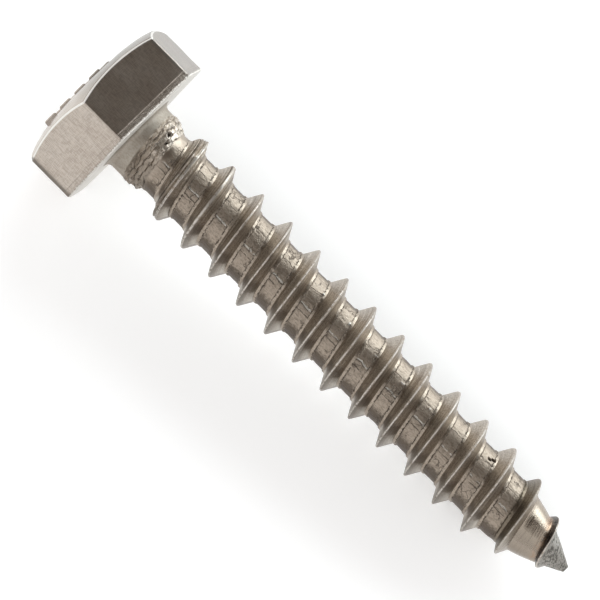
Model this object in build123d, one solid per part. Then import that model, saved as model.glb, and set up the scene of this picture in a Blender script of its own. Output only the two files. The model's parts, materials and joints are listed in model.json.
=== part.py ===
"""Hex-head lag screw, 1/4 in x 1-1/2 in, stainless steel, as one solid.

The screw is first drawn standing on its own axis: the bearing face under the
head is the plane z = 0, the head is below it and the point is at the top.
It is then laid down the way it comes to rest on a table, on one flat of the
head and on one crest near the point.  Sizes are in millimetres.
"""

import os
from math import atan, cos, degrees, pi, radians, sin, sqrt, tan

from build123d import *

# ---- head -------------------------------------------------------------------
across_flats = 11.0
head_height = 4.25
crown_flat_radius = 3.2
crown_depth = 1.05
bearing_edge_rounding = 0.12

# ---- plain neck under the head ----------------------------------------------
neck_radius = 2.56
neck_length = 1.6
neck_fillet = 0.43
band_radius = 2.6
band_length = 0.55
band_bevel = 0.15
neck_taper_length = 0.75

# ---- core that the thread stands on -----------------------------------------
length_under_head = 39.05
core_radius = 2.11
point_half_angle = 28.0
point_end_radius = 0.15
point_shoulder_length = 5.2

# ---- thread -----------------------------------------------------------------
crest_radius = 3.15
pitch = 2.54
flank_angle = 28.5
crest_width = 0.15
start_crest_drop = 0.55
start_crest_width = 0.35
full_crest_at = 13.0
thread_start = 1.2
thread_fade = 1.8
thread_fade_drop = 0.55
point_crest_arc = 11.0
thread_end_gap = 0.4
thread_end_fade = 1.2
thread_end_drop = 0.14
flank_middle = 0.6
flare_share = 0.18
flare_angle = 50.0
ridge_sunk = 0.25
crest_turn = 21.5
crest_position = 5.95
stations_per_turn = 16
span_turns = 0.5

# ---- derived sizes ----------------------------------------------------------
half_flats = across_flats / 2
corner_radius = half_flats / cos(radians(30))
crown_span = corner_radius - crown_flat_radius
crown_arc = (crown_span**2 + crown_depth**2) / (2 * crown_depth)
crown_reach = crown_span + 0.2
thread_end = length_under_head - thread_end_gap
cone_length = (core_radius - point_end_radius) / tan(radians(point_half_angle))
cone_start = length_under_head - cone_length
point_arc_reach = sqrt(point_crest_arc**2 - (point_crest_arc - crest_radius + point_end_radius) ** 2)
point_arc_start = length_under_head - point_arc_reach
helix_offset = crest_position - pitch * crest_turn / 360


def crest_radius_at(height):
    """Crest radius: low where the thread begins, full along the shank, an arc down the point.

    At each end the crest sinks below the surface, so that the ridge rises and dies out smoothly.
    """
    low_start = start_crest_drop * max(0.0, 1 - height / full_crest_at) ** 2
    sunk_start = thread_fade_drop * max(0.0, 1 - (height - thread_start) / thread_fade) ** 2
    sunk_end = thread_end_drop * max(0.0, 1 - (thread_end - height) / thread_end_fade) ** 2
    reach = max(0.0, height - point_arc_start)
    point_drop = point_crest_arc - sqrt(point_crest_arc**2 - reach**2)
    return crest_radius - low_start - sunk_start - sunk_end - point_drop


def crest_width_at(height):
    """The first crests are blunt; they come to their full sharpness up the shank."""
    start = max(0.0, 1 - height / full_crest_at)
    return crest_width + start_crest_width * start**2


def core_radius_at(height):
    """Radius of the core without the rounding at the shoulder of the point."""
    cone = point_end_radius + (length_under_head - height) * tan(radians(point_half_angle))
    return min(core_radius, cone)


def crown_height(reach):
    """Height of the dome on the head's top at a distance out from the edge of the flat."""
    return crown_arc - sqrt(crown_arc**2 - reach**2) - head_height


def turned(outline):
    """A solid of revolution about the screw's axis from an outline of (radius, height) points."""
    return revolve(Plane.XZ * outline, axis=Axis.Z)


def head():
    """A hexagonal block, its corners turned off by a dome that falls away round the flat top."""
    block = extrude(RegularPolygon(half_flats, 6, major_radius=False), -head_height)
    block = fillet(block.faces().sort_by(Axis.Z)[-1].edges(), bearing_edge_rounding)
    flat_edge = (crown_flat_radius, -head_height)
    halfway = (crown_flat_radius + crown_reach / 2, crown_height(crown_reach / 2))
    rim = (crown_flat_radius + crown_reach, crown_height(crown_reach))
    dome = ThreePointArc(rim, halfway, flat_edge)
    sides = Polyline(flat_edge, (0, -head_height), (0, 0), (rim[0], 0), rim)
    return block & turned(make_face(dome + sides))


def shank():
    """Neck, core and point turned about the axis, with the fillet under the head.

    A low band of metal stands round the end of the neck, pushed up there by the thread rolling.
    """
    neck_edge = (neck_radius, 0)
    wide = neck_radius + 1
    band_end = neck_length + band_length
    outline = Polyline(
        (0, -1),
        (wide, -1),
        (wide, 0),
        neck_edge,
        (neck_radius, neck_length),
        (band_radius, neck_length + band_bevel),
        (band_radius, band_end - band_bevel),
        (core_radius, band_end + neck_taper_length),
        *point_outline(),
        (0, length_under_head),
        (0, -1),
    )
    outline = make_face(outline)
    root = outline.vertices().sort_by_distance(neck_edge)[0]
    return turned(fillet(root, neck_fillet))


def point_outline():
    """The core's outline down the point: it bends into the cone in three short straight steps."""
    half = point_shoulder_length / 2
    slope = tan(radians(point_half_angle))
    return [
        (core_radius, cone_start - half),
        (core_radius - half * slope / 9, cone_start - half / 3),
        (core_radius - half * slope * 4 / 9, cone_start + half / 3),
        (core_radius - half * slope, cone_start + half),
        (point_end_radius, length_under_head),
    ]


def on_helix(height, radius, offset):
    """A point of the ridge, offset along the axis from its crest line at a given height."""
    turn = 2 * pi * (height - helix_offset) / pitch
    return (radius * cos(turn), radius * sin(turn), height + offset)


def ridge_section(height):
    """The ridge cut along the axis: straight flanks that flare out where they meet the core."""
    crest = crest_radius_at(height)
    core = core_radius_at(height)
    half = crest_width_at(height) / 2
    slope = tan(radians(flank_angle))
    middle = core + (crest - core) * flank_middle
    flare = core + (crest - core) * flare_share
    sunk = max(0.04, core - ridge_sunk)
    half_flare = half + (crest - flare) * slope
    half_sunk = half_flare + (flare - sunk) * tan(radians(flare_angle))
    side = [
        (sunk, half_sunk),
        (flare, half_flare),
        (middle, half + (crest - middle) * slope),
        (crest, half),
    ]
    below = [on_helix(height, radius, -offset) for radius, offset in side]
    above = [on_helix(height, radius, offset) for radius, offset in reversed(side)]
    return below + above


def ridge_span(start, end):
    """A short length of the thread: a right-hand ridge with its foot sunk into the core."""
    steps = round(stations_per_turn * span_turns)
    heights = [start + (end - start) * i / steps for i in range(steps + 1)]
    rails = list(zip(*[ridge_section(height) for height in heights]))
    edges = [Edge.make_spline(list(rail)) for rail in rails]
    faces = [Face.make_surface_from_curves(edge, after) for edge, after in zip(edges, edges[1:] + edges[:1])]
    faces.append(Face(Wire.make_polygon(ridge_section(start))))
    faces.append(Face(Wire.make_polygon(ridge_section(end))))
    return Solid(Shell(faces))


def ridge():
    """The whole thread as half-turn spans, which meet end to end."""
    spans = round((thread_end - thread_start) / pitch / span_turns)
    cuts = [thread_start + (thread_end - thread_start) * i / spans for i in range(spans + 1)]
    return [ridge_span(start, end) for start, end in zip(cuts, cuts[1:])]


def resting_tilt():
    """Slope of the axis when the head lies on one flat and the lowest crest touches the table."""
    lowest_crest = helix_offset + 0.75 * pitch
    count = int((thread_end - lowest_crest) / pitch)
    crests = [lowest_crest + pitch * i for i in range(count + 1)]
    slopes = [(half_flats - crest_radius_at(height)) / height for height in crests]
    return degrees(atan(min(slopes)))


def laid_down(screw):
    """The screw on its side: +X along the table to the point, +Z up, centred on the origin."""
    lying = Plane(origin=(0, 0, 0), x_dir=(0, 1, 0), z_dir=(1, 0, 0)) * screw
    lying = lying.rotate(Axis.Y, resting_tilt())
    box = lying.bounding_box()
    return Pos(-box.center().X, -box.center().Y, -box.min.Z) * lying


screw = shank().fuse(*ridge()) + head()
os.makedirs("parts", exist_ok=True)
export_step(laid_down(screw), "parts/lag_screw.step")
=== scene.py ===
import json
import math

import bmesh
import bpy
from mathutils import Matrix, Vector, noise


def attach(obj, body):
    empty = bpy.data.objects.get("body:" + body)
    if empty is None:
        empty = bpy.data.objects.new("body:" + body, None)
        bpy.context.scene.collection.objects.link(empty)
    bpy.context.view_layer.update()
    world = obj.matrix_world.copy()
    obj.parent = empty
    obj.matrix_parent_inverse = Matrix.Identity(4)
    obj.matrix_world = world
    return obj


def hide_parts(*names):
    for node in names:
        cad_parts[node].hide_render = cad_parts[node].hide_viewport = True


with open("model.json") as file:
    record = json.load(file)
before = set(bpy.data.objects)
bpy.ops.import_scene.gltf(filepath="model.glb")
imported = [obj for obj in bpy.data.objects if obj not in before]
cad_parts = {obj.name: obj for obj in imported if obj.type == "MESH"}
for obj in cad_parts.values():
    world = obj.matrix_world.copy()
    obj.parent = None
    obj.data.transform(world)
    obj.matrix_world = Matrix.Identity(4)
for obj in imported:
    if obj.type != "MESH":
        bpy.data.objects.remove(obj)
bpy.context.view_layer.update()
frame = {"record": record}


# ---- rolled shank ------------------------------------------------------------
# The neck's end, the right-hand thread and the gimlet point are one stretch of
# stainless wire, squeezed between rolling dies. The dies leave a ragged band
# where they begin, blunt first crests and a cracked floor between the ridges.
class Wire:
    """One output of a node tree. Arithmetic on it adds Math nodes to the same tree."""

    def __init__(self, tree, socket=None):
        self.tree = tree
        self.socket = socket

    def node(self, kind, settings, inputs, output=0):
        """Any node: its settings come first, then the values or wires of its sockets."""
        new = self.tree.nodes.new(kind)
        for name, value in settings.items():
            setattr(new, name, value)
        for name, value in inputs.items():
            if isinstance(value, Wire):
                self.tree.links.new(value.socket, new.inputs[name])
            else:
                new.inputs[name].default_value = value
        return Wire(self.tree, new.outputs[output] if new.outputs else None)

    def math(self, operation, *values):
        return self.node("ShaderNodeMath", {"operation": operation}, dict(enumerate(values)))

    def __add__(self, other):
        return self.math("ADD", self, other)

    def __radd__(self, other):
        return self.math("ADD", other, self)

    def __sub__(self, other):
        return self.math("SUBTRACT", self, other)

    def __rsub__(self, other):
        return self.math("SUBTRACT", other, self)

    def __mul__(self, other):
        return self.math("MULTIPLY", self, other)

    def __rmul__(self, other):
        return self.math("MULTIPLY", other, self)

    def __truediv__(self, other):
        return self.math("DIVIDE", self, other)

    def __abs__(self):
        return self.math("ABSOLUTE", self)

    def above(self, other):
        return self.math("MAXIMUM", self, other)

    def below(self, other):
        return self.math("MINIMUM", self, other)

    def root(self):
        return self.math("SQRT", self)

    def rise(self, low, high):
        """0 at low, 1 at high and a smooth step between; with low above high it falls."""
        return self.node("ShaderNodeMapRange", {"interpolation_type": "SMOOTHSTEP"},
                         {0: self, 1: low, 2: high, 3: 0.0, 4: 1.0})


shank_sizes = {
    "Crest radius": 3.15,
    "Core radius": 2.11,
    "Neck radius": 2.53,
    "Pitch": 2.54,
    "Helix start": 5.798,
    "Flank slope": math.tan(math.radians(28.5)),
    "Shank start": 0.7,
    "Shank end": 39.05,
    "Point arc": 11.0,
    "Point arc start": 31.5,
    "Point slope": math.tan(math.radians(28)),
    "Tip radius": 0.23,
    "Shoulder height": 0.1,
    "Shoulder width": 0.25,
}
full_crest_at = 13.0
start_crest_drop = 0.48
thread_start = 2.1
thread_fade = 1.4
thread_fade_drop = 0.6
point_rounding = 2.0
filled_from = 3.0
filled_at = 9.0
band_height = 1.8
band_slant = 0.35
band_slants_towards = 50
middle_radius = 2.3
rows_per_pitch = 34
points_round = 168
first_row = -3.0
pitches_of_rows = 16.2


def from_crest(height, turn, size):
    """Distance along the axis from the nearest crest, positive towards the point."""
    phase = (height - size["Helix start"]) / size["Pitch"] - turn
    return (phase - phase.math("ROUND", phase)) * size["Pitch"]


def crest_at(height, size):
    """Crest radius: low where the thread begins, full along the shank, an arc down the point."""
    low = ((full_crest_at - height) / full_crest_at).above(0.0)
    sunk = ((thread_start + thread_fade - height) / thread_fade).above(0.0)
    reach = (height - size["Point arc start"]).above(0.0)
    drop = size["Point arc"] - (size["Point arc"] * size["Point arc"] - reach * reach).root()
    return size["Crest radius"] - low * low * start_crest_drop - sunk * sunk * thread_fade_drop - drop


def core_at(height, size):
    """Core radius: even along the shank, bending into the cone of the point."""
    cone = size["Tip radius"] + (size["Shank end"] - height) * size["Point slope"]
    return height.math("SMOOTH_MIN", size["Core radius"], cone, point_rounding)


def unformed_at(height):
    """How far the first crests are from being filled, from 1 where they begin."""
    left = ((filled_at - height) / (filled_at - filled_from)).above(0.0).below(1.0)
    return left * left


def towards(degrees, x, y):
    """How far a point lies out from the axis towards an angle."""
    at = math.radians(degrees)
    return x * math.cos(at) + y * math.sin(at)


def band_at(height, cosine, sine):
    """Height above the slanting line that the rolling dies leave round the neck's end."""
    return height - band_height + towards(band_slants_towards, cosine, sine) * band_slant


def spot(height, cosine, sine, ragged, at_height, at_degrees, half_height, half_round):
    """1 in the middle of a small ragged place on the surface, 0 outside it."""
    near = 1 - towards(at_degrees, cosine, sine)
    up = (height - at_height) / half_height
    away = (up * up + near * (2 * (middle_radius / half_round) ** 2)).root()
    return (away + ragged).rise(1.0, 0.55)


# Each place: its height, its degrees round, then half its height and half its width.
pit_places = [
    (1.62, 73, 0.13, 0.26), (1.93, 86, 0.06, 0.17),
    (30.58, 67, 0.14, 0.1), (30.8, 63, 0.14, 0.1),
]
chip_places = [
    (20.84, 86, 0.15, 0.1), (23.27, 86, 0.2, 0.09), (18.2, 78, 0.1, 0.16),
    (27.1, 134, 0.1, 0.16), (25.6, 84, 0.1, 0.12), (15.7, 74, 0.1, 0.12),
]


def part_of(place, letter):
    return place.node("ShaderNodeSeparateXYZ", {}, {0: place}, letter)


thread_tree = bpy.data.node_groups.new("rolled thread", "GeometryNodeTree")
thread_tree.interface.new_socket(name="Geometry", in_out="OUTPUT", socket_type="NodeSocketGeometry")
for name in shank_sizes:
    thread_tree.interface.new_socket(name=name, in_out="INPUT", socket_type="NodeSocketFloat")
thread_inputs = thread_tree.nodes.new("NodeGroupInput")
size = {name: Wire(thread_tree, thread_inputs.outputs[name]) for name in shank_sizes}
begin = Wire(thread_tree)

ribbon = begin.node("GeometryNodeMeshGrid", {}, {
    "Size X": pitches_of_rows, "Size Y": 1.0,
    "Vertices X": round(pitches_of_rows * rows_per_pitch) + 1, "Vertices Y": points_round + 1})
flat_place = begin.node("GeometryNodeInputPosition", {}, {})
row = part_of(flat_place, "X") + (first_row + pitches_of_rows / 2)
turn = part_of(flat_place, "Y") + 0.5
angle = turn * (2 * math.pi)
crowded = row - row.math("SINE", row * (2 * math.pi)) * (0.45 / (2 * math.pi))
height = size["Helix start"] + size["Pitch"] * (crowded + turn)
height = height.above(size["Shank start"]).below(size["Shank end"])
cosine = angle.math("COSINE", angle)
sine = angle.math("SINE", angle)


def grain(round_scale, along_scale, detail, seed, roughness=0.6):
    """Noise over the turned surface, about 0 and within a half each way."""
    where = begin.node("ShaderNodeCombineXYZ", {}, {
        0: cosine * round_scale, 1: sine * round_scale, 2: height * along_scale + seed})
    return begin.node("ShaderNodeTexNoise", {}, {
        "Vector": where, "Scale": 1.0, "Detail": detail, "Roughness": roughness}, 0) - 0.5


signed = from_crest(height, turn, size)
aside = abs(signed)
unformed = unformed_at(height)
core = core_at(height, size)
nick = grain(6, 2.2, 2, 40).rise(0.16, 0.26) * 0.07
crest = crest_at(height, size) + grain(3, 1.3, 3, 11) * (0.05 + unformed * 0.1) - nick
full = (crest - core) / (size["Crest radius"] - size["Core radius"])
blunt = 0.015 + unformed * 0.25
helix_lines = begin.node("ShaderNodeCombineXYZ", {}, {
    0: signed * 6.5, 1: (height - signed) * 0.35, 2: 3.0})
lap = begin.node("ShaderNodeTexNoise", {}, {"Vector": helix_lines, "Scale": 1.0, "Detail": 3.0}, 0)
lap = (lap.rise(0.4, 0.62) + grain(7, 4, 3, 8)) * aside.rise(0.65, 0.35) * (unformed + 0.03) * 0.2
down = (aside - blunt).above(0.0)
down = (down * down + 0.03 ** 2).root() - 0.03
ridge = crest - lap - down / size["Flank slope"]

beyond = aside - blunt - (crest - core - size["Shoulder height"]) * size["Flank slope"]
beyond = beyond + grain(13, 6, 4, 70) * 0.16
shoulder = beyond.rise(size["Shoulder width"] + 0.03, size["Shoulder width"] - 0.03)
on_thread = height.rise(2.2, 2.9) * height.rise(35.2, 34.2)
floor_middle = beyond.rise(size["Shoulder width"] - 0.03, size["Shoulder width"] + 0.06) * on_thread
turned_place = begin.node("ShaderNodeCombineXYZ", {}, {0: cosine * 2.1, 1: sine * 2.1, 2: height})
plate = begin.node("ShaderNodeTexVoronoi", {"distance": "CHEBYCHEV"}, {
    "Vector": turned_place, "Scale": 1.25}, "Color")
plate = part_of(plate, "X") - 0.5
floor = core + shoulder * full * size["Shoulder height"] * on_thread
uneven = plate * 0.025 + grain(9, 0.7, 3, 3) * 0.05 + grain(9, 5, 3, 33) * 0.025 + 0.01
floor = floor + uneven * floor_middle

above_band = band_at(height, cosine, sine)
in_band = abs(above_band - 0.02).rise(0.74, 0.6)
flake = above_band / 0.36 + grain(1.7, 0.7, 3, 21) * 3.6
flake = flake.math("FRACT", flake) - 0.5
neck = (size["Neck radius"] - above_band.rise(-0.3, 0.95) * 0.42
        + (flake * 0.15 + grain(9, 7, 4, 52, 0.7) * 0.12) * in_band
        - height.rise(3.1, 5.5) * 2.5)
surface = begin.math("SMOOTH_MAX", floor.above(ridge), neck, 0.05)
rough_edge = grain(14, 7, 2, 5) * 0.7
for where in pit_places:
    surface = surface - spot(height, cosine, sine, rough_edge, *where) * 0.3
for where in chip_places:
    surface = surface + spot(height, cosine, sine, rough_edge, *where) * 0.07
surface = surface + grain(8, 5, 3, 60) * height.rise(36.8, 37.6) * 0.08

shaped = begin.node("GeometryNodeSetPosition", {}, {
    "Geometry": ribbon,
    "Position": begin.node("ShaderNodeCombineXYZ", {}, {
        0: surface * cosine, 1: surface * sine, 2: height})})
welded = begin.node("GeometryNodeMergeByDistance", {}, {"Geometry": shaped, "Distance": 0.002})
whole = begin.node("GeometryNodeRealizeInstances", {}, {0: welded})
rolled_steel = bpy.data.materials.new("rolled stainless")
finished = begin.node("GeometryNodeSetMaterial", {}, {"Geometry": whole, "Material": rolled_steel})
thread_out = thread_tree.nodes.new("NodeGroupOutput")
thread_tree.links.new(finished.socket, thread_out.inputs[0])

blank = bpy.data.objects.new("threaded shank", bpy.data.meshes.new("threaded shank"))
bpy.context.scene.collection.objects.link(blank)
rolling = blank.modifiers.new("rolling", "NODES")
rolling.node_group = thread_tree
for item in thread_tree.interface.items_tree:
    if item.in_out == "INPUT":
        rolling[item.identifier] = shank_sizes[item.name]
bpy.context.view_layer.update()
shank_mesh = bpy.data.meshes.new_from_object(
    blank.evaluated_get(bpy.context.evaluated_depsgraph_get()))
blank.modifiers.remove(rolling)
bpy.data.objects.remove(blank)

# The meshes are drawn in millimetres, standing on the screw's own axis with the
# bearing face at height 0, and are laid in place at the end. The screw lies on
# one flat of its head and on one crest near the point.
mounts = {mount["name"]: mount for mount in frame["record"]["mounts"]}
axis = Vector(mounts["wood_thread"]["axis"]).normalized()
thread_middle = Vector(mounts["wood_thread"]["pos_m"])
bearing_point = Vector(mounts["bearing_face"]["pos_m"])
bearing_centre = thread_middle - axis * (thread_middle - bearing_point).dot(axis)
across = Vector((0, 1, 0))
upward = axis.cross(across)
turned_to_lie = Matrix((across, upward, axis)).transposed()


def empty_tree(owner):
    """A wire from which the tree of a material or of the world starts afresh."""
    owner.use_nodes = True
    owner.node_tree.nodes.clear()
    return Wire(owner.node_tree)


def place_on_screw(material):
    """The place on the screw's surface in its own millimetres, with the rest of the tree empty."""
    begin = empty_tree(material)
    place = begin.node("ShaderNodeTexCoord", {}, {}, "Object")
    return begin.node("ShaderNodeMapping", {"vector_type": "TEXTURE"}, {
        "Vector": place, "Location": bearing_centre, "Rotation": turned_to_lie.to_euler(),
        "Scale": (0.001, 0.001, 0.001)})


def speckle(place, stretch, detail=4.0, roughness=0.6):
    """Noise from 0 to 1 about a half; stretch is how many specks there are to a millimetre."""
    where = place.node("ShaderNodeVectorMath", {"operation": "MULTIPLY"}, {0: place, 1: stretch})
    return place.node("ShaderNodeTexNoise", {}, {
        "Vector": where, "Scale": 1.0, "Detail": detail, "Roughness": roughness}, 0)


def tinted(colour, layers):
    """A colour with tints laid over it in turn, each by its own share."""
    for share, tint in layers:
        colour = share.node("ShaderNodeMix", {"data_type": "RGBA"}, {
            0: share, 6: colour, 7: (*tint, 1)}, 2)
    return colour


def coat_steel(colour, roughness, relief):
    """Bare metal; relief is in millimetres."""
    normal = relief.node("ShaderNodeBump", {}, {"Strength": 1.0, "Distance": 0.001, "Height": relief})
    steel = relief.node("ShaderNodeBsdfPrincipled", {}, {
        "Base Color": colour, "Metallic": 1.0, "Roughness": roughness, "Normal": normal})
    relief.node("ShaderNodeOutputMaterial", {}, {"Surface": steel})


place = place_on_screw(rolled_steel)
x, y, z = (part_of(place, letter) for letter in "XYZ")
radius = (x * x + y * y).root()
cosine, sine = x / radius, y / radius
signed = from_crest(z, x.math("ARCTAN2", y, x) / (2 * math.pi), shank_sizes)
aside = abs(signed)
unformed = unformed_at(z)
crest = crest_at(z, shank_sizes)
core = core_at(z, shank_sizes)
beyond = (aside - 0.03 - unformed * 0.25
          - (crest - core - shank_sizes["Shoulder height"]) * shank_sizes["Flank slope"])
on_thread = z.rise(2.3, 3.0)
above_band = band_at(z, cosine, sine)
in_band = abs(above_band - 0.02).rise(0.76, 0.64)
plain_neck = above_band.rise(-0.6, -0.75)
flank = beyond.rise(0.04, -0.04) * on_thread
middle = beyond.rise(0.22, 0.32) * on_thread * z.rise(35.2, 34.0)
worn_line = (radius - crest).rise(-0.07, -0.01) * on_thread
blots = speckle(place, (0.9, 0.9, 0.9), 3.0)
ragged = speckle(place, (5.0, 5.0, 5.0), 4.0, 0.65)
fine = speckle(place, (14.0, 14.0, 14.0), 3.0, 0.7)
helical = place.node("ShaderNodeCombineXYZ", {}, {0: signed, 1: radius, 2: z - signed})
drawn_lines = speckle(helical, (6.5, 6.5, 0.3), 4.0, 0.65)
across_lines = speckle(helical, (0.7, 2.0, 20.0), 4.0, 0.65)

# Breaks in the surface: torn shoulder edges, cracked floor plates, lapped crests and flakes.
edge_zone = beyond.rise(0.08, 0.16) * on_thread * z.rise(35.2, 34.0)
torn_edge = abs(beyond - 0.25 + (ragged - 0.5) * 0.4).rise(0.045, 0.01)
torn_edge = torn_edge * edge_zone * ragged.rise(0.42, 0.54)
wandering = place.node("ShaderNodeVectorMath", {"operation": "ADD"}, {0: place, 1: place.node(
    "ShaderNodeTexNoise", {}, {"Vector": place, "Scale": 2.2, "Detail": 3.0}, 1)})
cell = place.node("ShaderNodeTexVoronoi", {"feature": "DISTANCE_TO_EDGE", "distance": "EUCLIDEAN"}, {
    "Vector": wandering, "Scale": 0.95}, 0)
plate_edge = cell.rise(0.035, 0.012) * middle * blots.rise(0.49, 0.58) * 0.6
lap = speckle(helical, (6.5, 2.0, 0.35), 3.0).rise(0.57, 0.63) * aside.rise(0.75, 0.55)
lap = lap * unformed.rise(0.02, 0.3) * on_thread * ragged.rise(0.3, 0.5)
flake = above_band / 0.36 + (speckle(place, (0.9, 0.9, 0.5), 3.0) - 0.5) * 3.4 + (ragged - 0.5) * 0.7
flake = flake.math("FRACT", flake)
flake_edge = (flake.rise(0.8, 0.92) + flake.rise(0.08, 0.03)) * in_band
flake_edge = flake_edge * blots.rise(0.35, 0.5) * 0.65
rough_edge = (ragged - 0.5) * 1.2
pit = sum(spot(z, cosine, sine, rough_edge, *where) for where in pit_places)
chip = sum(spot(z, cosine, sine, rough_edge, *where) for where in chip_places)
crack = (torn_edge + plate_edge + lap + flake_edge + pit).below(1.0)


def die_line(degrees, wander, width):
    """A line along the shank where two dies met, broken by the ridges."""
    off_line = towards(degrees + 90, x, y) + (blots - 0.5) * wander + (ragged - 0.5) * 0.12
    return abs(off_line).rise(width, width * 0.3) * towards(degrees, x, y).rise(0.0, 0.1) * middle


lip = die_line(112.5, 0.5, 0.055) * blots.rise(0.4, 0.5)
groove = (die_line(114.5, 0.5, 0.04) + die_line(123.5, 0.1, 0.045)) * blots.rise(0.4, 0.52)
groove = groove + die_line(79, 0.8, 0.045) * ragged.rise(0.38, 0.5)

# The last ridge, the gimlet beyond it, and painted shade along the underside and the top side.
tip_turn = z - signed
last_ridge = tip_turn.rise(36.0, 36.4) * tip_turn.rise(38.6, 38.4)
gimlet = (last_ridge * signed.rise(0.02, 0.12)).above(tip_turn.rise(38.4, 38.6))
point = z.rise(34.4, 35.0) * (1 - gimlet)
underside = towards(178, cosine, sine)
overside = towards(21, cosine, sine)
# Painted shade: the floor between the ridges darkens towards the underside and the top side, standing
# in for the shadowed floor that the metal reflects there.
edge_shade = (underside + (ragged - 0.5) * 0.2).rise(0.86, 0.97)
edge_shade = edge_shade + (overside + (ragged - 0.5) * 0.12).rise(0.92, 0.98)
scales = speckle(helical, (7.0, 7.0, 9.0), 3.0, 0.65)
mottle = speckle(place, (9.0, 9.0, 4.0), 4.0, 0.7)
dark_side = z.rise(32.2, 32.9) * z.rise(35.4, 34.8) * signed.rise(0.1, -0.1) * beyond.rise(0.45, 0.2)
straw = last_ridge * signed.rise(-0.2, -0.35) * (aside + (ragged - 0.5) * 0.7).rise(0.9, 0.5)
straw = straw * (ragged.rise(0.4, 0.65) * 0.6 + cosine.rise(0.1, 0.8)).below(1.0)
blackened = last_ridge * signed.rise(0.0, -0.08) * (beyond + (ragged - 0.5) * 0.6).rise(0.2, -0.1)
worn_crest = (worn_line * ragged.rise(0.4, 0.52)).above(chip).above(lip)
colour = tinted((0.39, 0.33, 0.27, 1), [
    (plain_neck, (0.41, 0.375, 0.325)),
    (blots.rise(0.35, 0.65) * 0.6, (0.33, 0.28, 0.23)),
    (middle * ragged.rise(0.35, 0.65) * 0.6, (0.35, 0.285, 0.23)),
    (flank * drawn_lines.rise(0.35, 0.6), (0.50, 0.44, 0.375)),
    (flank * drawn_lines.rise(0.44, 0.36) * 0.7, (0.2, 0.165, 0.135)),
    (flank * drawn_lines.rise(0.55, 0.68), (0.66, 0.61, 0.55)),
    (on_thread.above(plain_neck * 0.7) * mottle.rise(0.47, 0.60) * 0.75, (0.23, 0.19, 0.15)),
    # Painted shade in a band on the flanks towards the underside, a painted reflection of the white
    # floor at their lowest edge, and painted shade beside the crest there.
    (flank * underside.rise(0.70, 0.84) * underside.rise(0.97, 0.93) * 0.65, (0.13, 0.105, 0.085)),
    (flank * underside.rise(0.94, 0.98) * aside.rise(0.1, 0.6) * 0.6, (0.52, 0.50, 0.455)),
    (flank * underside.rise(0.93, 0.97) * aside.rise(0.45, 0.1) * 0.8, (0.15, 0.13, 0.105)),
    # Painted shade along the underside and the top side of the floor between the ridges.
    (middle * edge_shade * 0.9, (0.11, 0.088, 0.07)),
    (plain_neck * 0.25, (0.49, 0.445, 0.39)),
    (point, (0.38, 0.325, 0.265)),
    # Painted shade: the point darkens towards its underside.
    (point * underside.rise(0.3, 0.8) * 0.6, (0.24, 0.205, 0.17)),
    (point * drawn_lines.rise(0.5, 0.62) * 0.6, (0.25, 0.2, 0.16)),
    (worn_crest, (0.52, 0.485, 0.44)),
    # The band's ragged lighter patches fade out towards the underside as painted light, and its
    # underside is darkened as painted shade.
    (in_band * ragged.rise(0.35, 0.6) * underside.rise(0.7, 0.2), (0.64, 0.58, 0.51)),
    (in_band * underside.rise(0.4, 0.9) * 0.6, (0.2, 0.17, 0.14)),
    # Painted shadow: the cracks, pits, flake edges and die grooves are filled dark as if shade lay in
    # them.
    ((crack + groove * 0.7).below(1.0) * 0.8, (0.07, 0.056, 0.045)),
    (dark_side * (0.65 + (drawn_lines - 0.5) * 1.6), (0.08, 0.062, 0.038)),
    (straw * 0.6, (0.40, 0.23, 0.135)),
    (blackened * 0.9, (0.03, 0.026, 0.025)),
    (gimlet, (0.375, 0.355, 0.325)),
    (gimlet * scales.rise(0.52, 0.42) * 0.8, (0.08, 0.075, 0.065)),
])

roughness = (0.34 - point * 0.1 + flank * drawn_lines * 0.08 + middle * (0.06 + fine * 0.12)
             + in_band * 0.04 + crack * 0.3 + gimlet * 0.06 + plain_neck * 0.25
             + unformed * flank.above(worn_line) * 0.1)
relief = (fine * (0.002 + middle * 0.005 + in_band * 0.004) + ragged * middle * 0.035 + mottle * 0.009
          + across_lines * middle * 0.016 + drawn_lines * (flank * 0.02 + point * 0.022) - crack * 0.04
          + lip * 0.045 - groove * 0.04 + chip * 0.03
          + flake * in_band * 0.04 + scales * gimlet * 0.15)
coat_steel(colour, roughness, relief)

# ---- forged head -------------------------------------------------------------
# The hexagon is cold forged on the end of the same wire: six brushed flats, a
# domed crown that cuts their corners, a flat bearing face and a small fillet
# into the neck. Plain raised bars stand on the crown in place of any lettering.
half_flats = 5.5
corner_rounding = 0.16
head_height = 4.25
crown_flat = 3.2
crown_arc = 6.0
crown_chamfer = 0.1
bearing_rounding = 0.05
corner_wear = 0.15
neck_fillet = 0.43
neck_radius = shank_sizes["Neck radius"]
bar_turn = math.radians(21.5)
bar_length = 1.0
bar_width = 0.5
bar_height = 0.22
bar_sunk = 0.17
head_lean_degrees = 0.35
bearing_lean_degrees = 1.1
corner_turns = [0, 0.5, 1.0, 1.5, 2.2, 3.5, 6, 9, 13, 17, 21, 25.5, 30]
sixth = corner_turns[:-1] + [60 - step for step in reversed(corner_turns)][:-1]
head_angles = [math.radians(60 * side + step) for side in range(6) for step in sixth]
neck_angles = [2 * math.pi * i / points_round for i in range(points_round)]


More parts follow.
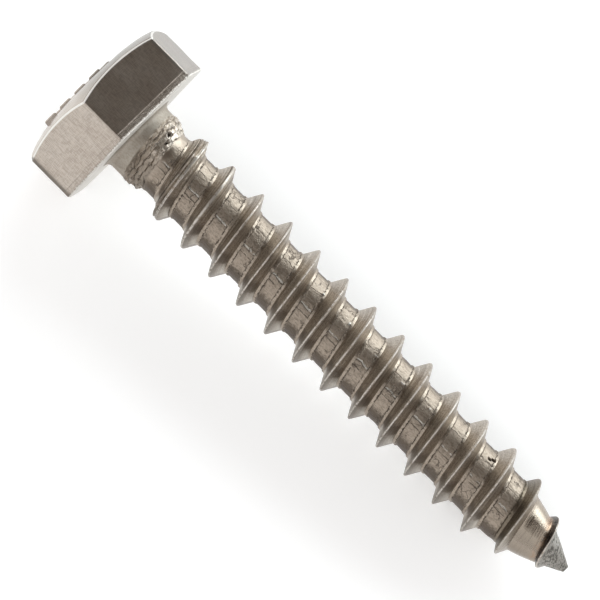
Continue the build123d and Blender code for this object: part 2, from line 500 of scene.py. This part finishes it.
def hexagon(angle, inset=0.0):
    """Radius of the rounded hexagon at an angle; its corners are at 0, 60, 120 degrees and on."""
    from_corner = (math.degrees(angle) + 30) % 60 - 30
    flat = (half_flats - inset) / math.cos(math.radians(30 - abs(from_corner)))
    centre = (half_flats - corner_rounding) / math.cos(math.radians(30))
    off_line = centre * math.sin(math.radians(from_corner))
    rounding = max(corner_rounding - inset, 0.02)
    if abs(off_line) >= rounding:
        return flat
    along_line = centre * math.cos(math.radians(from_corner))
    return min(flat, along_line + math.sqrt(rounding ** 2 - off_line ** 2))


def softened(angle):
    """How far the bearing edge is rounded: little along the flats, more at the corners."""
    from_corner = (math.degrees(angle) + 30) % 60 - 30
    return bearing_rounding + corner_wear * math.exp(-(from_corner / 4.0) ** 2)


def crown(radius):
    """Height of the crown's surface at a radius."""
    reach = max(0.0, radius - crown_flat)
    return crown_arc - math.sqrt(crown_arc ** 2 - reach ** 2) - head_height


# Unless it is given a seed, this noise takes one from the clock, and the head comes out
# a little different each time.
noise_seed = 1795419616
noise.seed_set(noise_seed)


def worn(point, amount):
    """A point of the head moved by the small unevenness that forging and tumbling leave."""
    return point + noise.noise_vector(point * 0.9) * amount


head = bmesh.new()


def ring(points):
    return [head.verts.new(point) for point in points]


def skin(lower, upper):
    """Faces between two rings of as many points."""
    count = len(lower)
    for i in range(count):
        head.faces.new((lower[i], lower[(i + 1) % count], upper[(i + 1) % count], upper[i]))


def next_ring(previous, points):
    """A ring joined by faces to the one before it."""
    following = ring(points)
    skin(previous, following)
    return following


def round_edges(points):
    """The edges that run round a ring."""
    return [head.edges.get((points[i - 1], points[i])) for i in range(len(points))]


def keep_crisp(points):
    for edge in round_edges(points):
        edge.smooth = False


def polar(radius, angle, height):
    return Vector((radius * math.cos(angle), radius * math.sin(angle), height))


previous = ring([polar(neck_radius, a, shank_sizes["Shank start"]) for a in neck_angles])
neck_rows = [(neck_radius, 0.6), (neck_radius, 0.5), (neck_radius, neck_fillet)]
for step in range(1, 9):
    bend = math.radians(90 * step / 8)
    out, up = 1 - math.cos(bend), 1 - math.sin(bend)
    neck_rows.append((neck_radius + neck_fillet * out, neck_fillet * up))
for radius, level in neck_rows:
    previous = next_ring(previous, [polar(radius, a, level) for a in neck_angles])
face_inner = next_ring(previous, [polar(neck_radius + neck_fillet + 0.15, a, 0) for a in neck_angles])

inside_edge = ring([worn(polar(hexagon(a, softened(a) + 0.2), a, 0), 0.01) for a in head_angles])
face_outer = next_ring(
    inside_edge, [worn(polar(hexagon(a, softened(a)), a, 0), 0.01) for a in head_angles])
bmesh.ops.bridge_loops(head, edges=round_edges(face_inner) + round_edges(inside_edge))

previous = face_outer
for step in range(1, 5):
    bend = math.radians(90 * step / 4)
    points = []
    for a in head_angles:
        inset = softened(a) * (1 - math.sin(bend))
        level = -softened(a) * (1 - math.cos(bend))
        points.append(worn(polar(hexagon(a, inset), a, level), 0.03))
    previous = next_ring(previous, points)
for share in (0.06, 0.12, 0.2, 0.32, 0.46, 0.6, 0.74, 0.88, 0.96, 1.0):
    points = []
    for a in head_angles:
        radius = hexagon(a)
        level = -softened(a) + share * (crown(radius) + crown_chamfer + softened(a))
        points.append(worn(polar(radius, a, level), 0.02))
    previous = next_ring(previous, points)
keep_crisp(previous)
for share in (0.0, 0.06, 0.15, 0.3, 0.45, 0.6, 0.75, 0.9, 1.0):
    points = []
    for a in head_angles:
        radius = hexagon(a, crown_chamfer) * (1 - share) + crown_flat * share
        points.append(worn(polar(radius, a, crown(radius)), 0.02))
    previous = next_ring(previous, points)
    if share == 0.0:
        keep_crisp(previous)
for radius in (2.4, 1.6, 0.8):
    points = [worn(polar(radius, a, -head_height), 0.015) for a in head_angles]
    previous = next_ring(previous, points)
pole = head.verts.new((0, 0, -head_height))
for i in range(len(previous)):
    head.faces.new((previous[i - 1], previous[i], pole))

bar_along = polar(1, bar_turn, 0)
bar_across = polar(1, bar_turn + math.pi / 2, 0)


def raised_bar(centre):
    """A plain bar with sloping sides that stands on the crown, its foot sunk into the metal."""
    levels = []
    for level, shrink in ((bar_sunk, 0.0), (-bar_height * 0.7, 0.05), (-bar_height, 0.13)):
        half_along = bar_along * (bar_length / 2 - shrink)
        half_across = bar_across * (bar_width / 2 - shrink)
        middle_point = centre + Vector((0, 0, level))
        levels.append(ring([middle_point + half_along * i + half_across * j
                            for i, j in ((-1, -1), (1, -1), (1, 1), (-1, 1))]))
    head.faces.new(list(reversed(levels[0])))
    skin(levels[0], levels[1])
    skin(levels[1], levels[2])
    head.faces.new(levels[2])


for row_out, shift in ((2.35, -1.2), (0.9, -0.4), (-2.2, 0.6)):
    row_centre = Vector((0, 0, -head_height)) + bar_across * row_out
    for step in (-1.95, -0.65, 0.65, 1.95):
        raised_bar(row_centre + bar_along * (step + shift))

# The forging dies closed a little askew: the head leans on the shank, its bearing face more.
lean = bar_along * -math.tan(math.radians(head_lean_degrees))
bearing_lean = bar_across * math.tan(math.radians(bearing_lean_degrees))
for vert in head.verts:
    share = min(1.0, max(0.0, 1 - vert.co.z / neck_fillet))
    near_bearing = min(1.0, max(0.0, 1 + vert.co.z / 3.0))
    vert.co.z += share * vert.co.dot(bearing_lean * near_bearing + lean)
bmesh.ops.recalc_face_normals(head, faces=head.faces)

brushed_steel = bpy.data.materials.new("brushed stainless")
place = place_on_screw(brushed_steel)
x, y, z = (part_of(place, letter) for letter in "XYZ")
leaning_z = z - (x * lean.x + y * lean.y)
seat = leaning_z - (x * bearing_lean.x + y * bearing_lean.y)
beyond_flat = ((x * x + y * y).root() - crown_flat).above(0.0)
above_crown = leaning_z + head_height - crown_arc + (crown_arc ** 2 - beyond_flat * beyond_flat).root()
brushing = speckle(place, (20.0, 20.0, 1.9), 3.0, 0.65) * 0.65
brushing = brushing + speckle(place, (2.2, 2.2, 18.0), 3.0) * 0.35
clouds = speckle(place, (0.8, 0.8, 0.5), 4.0)
ragged = speckle(place, (6.0, 6.0, 3.0), 4.0, 0.7)
on_side = above_crown.rise(0.08, 0.14) * seat.rise(0.03, -0.02)
sheared = (seat + (ragged - 0.5) * 0.12).rise(-0.55, -0.49) * seat.rise(0.0, -0.04)
sheared_line = abs(seat + 0.52 + (ragged - 0.5) * 0.08).rise(0.04, 0.01) * clouds.rise(0.48, 0.56)
burr = (seat + (ragged - 0.5) * 0.4).rise(-0.16, -0.08) * seat.rise(0.0, -0.02)
flecks = speckle(place, (4.0, 4.0, 9.0), 3.0, 0.7)
bearing = seat.rise(-0.06, -0.02)
towards_flat = towards(30, x, y)
# The rim mask carries a painted highlight along the crown's chamfer.
rim = above_crown.rise(0.02, 0.035) * above_crown.rise(0.14, 0.11)
low_corner_shade = towards(180, x, y).rise(6.12, 6.26)
high_corner_shade = towards(60, x, y).rise(6.1, 6.22) * seat.rise(-0.3, -0.1)
colour = tinted((0.475, 0.415, 0.36, 1), [
    (clouds.rise(0.35, 0.65), (0.555, 0.495, 0.44)),
    # Painted shade: the upper flat is darkened as if it reflected the screw's shadow on the floor.
    (towards_flat.rise(5.2, 5.42), (0.27, 0.25, 0.23)),
    # Painted shade: the crown is darker on its upper half.
    (above_crown.rise(0.03, 0.01) * towards_flat.rise(-1.5, 2.5) * 0.9, (0.245, 0.22, 0.195)),
    (on_side * brushing.rise(0.44, 0.57) * 0.7, (0.31, 0.265, 0.225)),
    (on_side * clouds.rise(0.4, 0.6) * 0.3, (0.40, 0.35, 0.30)),
    # Painted highlight: a bright line along the crown's chamfer.
    (rim, (0.72, 0.70, 0.66)),
    # Painted shade on the rounded corners at the bottom and the top of the head.
    ((low_corner_shade + high_corner_shade).below(1.0) * 0.75, (0.09, 0.078, 0.065)),
    (sheared * flecks.rise(0.53, 0.47) * 0.3, (0.25, 0.2, 0.165)),
    (burr, (0.78, 0.75, 0.70)),
    (bearing, (0.74, 0.71, 0.67)),
])
roughness = 0.23 + brushing * 0.12 * on_side + clouds * 0.05 + burr.above(bearing) * 0.28
relief = (brushing * on_side * 0.013 + clouds * 0.01 + sheared * flecks * 0.05
          - sheared_line * on_side * 0.012 + burr * ragged * 0.12)
coat_steel(colour, roughness, relief)

# ---- the whole screw ---------------------------------------------------------
# Head and shank are one piece of metal, so the two meshes are welded along the
# neck and the end of the point is closed. The screw is then laid in its place.
sharp_angle = math.radians(38)
head_mesh = bpy.data.meshes.new("head")
head.to_mesh(head_mesh)
head.free()
body = bmesh.new()
body.from_mesh(shank_mesh)
for face in body.faces:
    face.material_index = 0
shank_faces = len(body.faces)
body.from_mesh(head_mesh)
body.faces.ensure_lookup_table()
for face in body.faces[shank_faces:]:
    centre = face.calc_center_median()
    on_neck = centre.z > -0.1 and centre.xy.length < neck_radius + neck_fillet
    face.material_index = 0 if on_neck else 1
bmesh.ops.remove_doubles(body, verts=body.verts, dist=0.003)
open_edges = [edge for edge in body.edges if edge.is_boundary]
bmesh.ops.contextual_create(body, geom=open_edges)
bmesh.ops.recalc_face_normals(body, faces=body.faces)
for face in body.faces:
    face.smooth = True
for edge in body.edges:
    if len(edge.link_faces) == 2 and edge.calc_face_angle(0) > sharp_angle:
        edge.smooth = False
screw_mesh = bpy.data.meshes.new("lag screw body")
body.to_mesh(screw_mesh)
body.free()
to_metres = Matrix.Scale(0.001, 4)
screw_mesh.transform(Matrix.Translation(bearing_centre) @ turned_to_lie.to_4x4() @ to_metres)
screw = bpy.data.objects.new("forged_screw", screw_mesh)
bpy.context.scene.collection.objects.link(screw)
for material in (rolled_steel, brushed_steel):
    screw_mesh.materials.append(material)

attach(screw, "root")
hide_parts("lag_screw")

# ---- table and light ---------------------------------------------------------
# A plain pale table under an even white studio. A broad soft lamp stands on the
# far side, and a dark card hangs overhead, as is usual for bright metal.
table_lift = 0.21
studio_light = 1.55
bpy.ops.mesh.primitive_plane_add(size=2.4, location=(0, 0, 0))
table = bpy.context.object
table.name = "table"


def shown_rays(begin):
    """1 for what the camera sees, straight or in metal and glass."""
    path = begin.node("ShaderNodeLightPath", {}, {}, "Is Camera Ray")
    for kind in ("Is Glossy Ray", "Is Transmission Ray"):
        path = path + begin.node("ShaderNodeLightPath", {}, {}, kind)
    return path.below(1.0)


table_paint = bpy.data.materials.new("pale table")
begin = empty_tree(table_paint)
paint = begin.node("ShaderNodeBsdfDiffuse", {}, {"Color": (0.88, 0.88, 0.88, 1)})
lift = begin.node("ShaderNodeEmission", {}, {"Color": (1, 1, 1, 1), "Strength": table_lift})
lifted = begin.node("ShaderNodeAddShader", {}, {0: paint, 1: lift})
both = begin.node("ShaderNodeMixShader", {}, {0: shown_rays(begin), 1: paint, 2: lifted})
begin.node("ShaderNodeOutputMaterial", {}, {"Surface": both})
table.data.materials.append(table_paint)

world = bpy.data.worlds.new("studio")
bpy.context.scene.world = world
begin = empty_tree(world)
even = begin.node("ShaderNodeBackground", {}, {"Color": (1, 1, 1, 1), "Strength": studio_light})
white = begin.node("ShaderNodeBackground", {}, {"Color": (1, 1, 1, 1), "Strength": 1.0})
both = begin.node("ShaderNodeMixShader", {}, {0: shown_rays(begin), 1: even, 2: white})
begin.node("ShaderNodeOutputWorld", {}, {"Surface": both})


def out_from_screw(degrees, distance):
    """A place across the screw, at an angle from the near horizon up over the top."""
    angle = math.radians(degrees)
    return Vector((0, -math.cos(angle), math.sin(angle))) * distance


card_mesh = bpy.data.meshes.new("dark card")
card_corners = []
for degrees in range(70, 139, 4):
    for side in (-1, 1):
        card_corners.append(out_from_screw(degrees, 0.5) + Vector((side * 0.45, 0, 0)))
card_faces = [(i, i + 1, i + 3, i + 2) for i in range(0, len(card_corners) - 2, 2)]
card_mesh.from_pydata(card_corners, [], card_faces)
card = bpy.data.objects.new("dark_card", card_mesh)
bpy.context.scene.collection.objects.link(card)
card_paint = bpy.data.materials.new("dark card")
begin = empty_tree(card_paint)
dark = begin.node("ShaderNodeBsdfDiffuse", {}, {"Color": (0.07, 0.053, 0.041, 1)})
begin.node("ShaderNodeOutputMaterial", {}, {"Surface": dark})
card_mesh.materials.append(card_paint)

lamp_data = bpy.data.lights.new("far lamp", "AREA")
lamp_data.shape = "RECTANGLE"
lamp_data.size = 0.9
lamp_data.size_y = 0.4
lamp_data.energy = 3.6
lamp_data.color = (0.87, 0.965, 1.0)
lamp = bpy.data.objects.new("far lamp", lamp_data)
bpy.context.scene.collection.objects.link(lamp)
lamp.location = out_from_screw(158, 0.6)
lamp.rotation_euler = lamp.location.to_track_quat("Z", "Y").to_euler()

# ---- camera ------------------------------------------------------------------
# The camera looks down on the side of the screw from the near side, square to
# its axis, so that three flats of the head show.
aim_height = 14.91
camera_distance = 0.26
camera_turn = math.radians(111.5)
picture_turn = math.radians(45.4)
millimetres_wide = 38.3
camera_data = bpy.data.cameras.new("camera")
camera_data.sensor_width = 36
camera_data.lens = 36 * camera_distance * 1000 / millimetres_wide
camera_data.clip_start = 0.01
camera_data.clip_end = 10
camera = bpy.data.objects.new("camera", camera_data)
bpy.context.scene.collection.objects.link(camera)
back = across * math.cos(camera_turn) + upward * math.sin(camera_turn)
beside = across * math.cos(camera_turn - math.pi / 2) + upward * math.sin(camera_turn - math.pi / 2)
right = axis * math.cos(picture_turn) + beside * math.sin(picture_turn)
above = beside * math.cos(picture_turn) - axis * math.sin(picture_turn)
aim = bearing_centre + axis * aim_height * 0.001
camera.matrix_world = (Matrix.Translation(aim + back * camera_distance)
                       @ Matrix((right, above, back)).transposed().to_4x4())
bpy.context.scene.camera = camera
bpy.context.scene.view_settings.view_transform = "Standard"
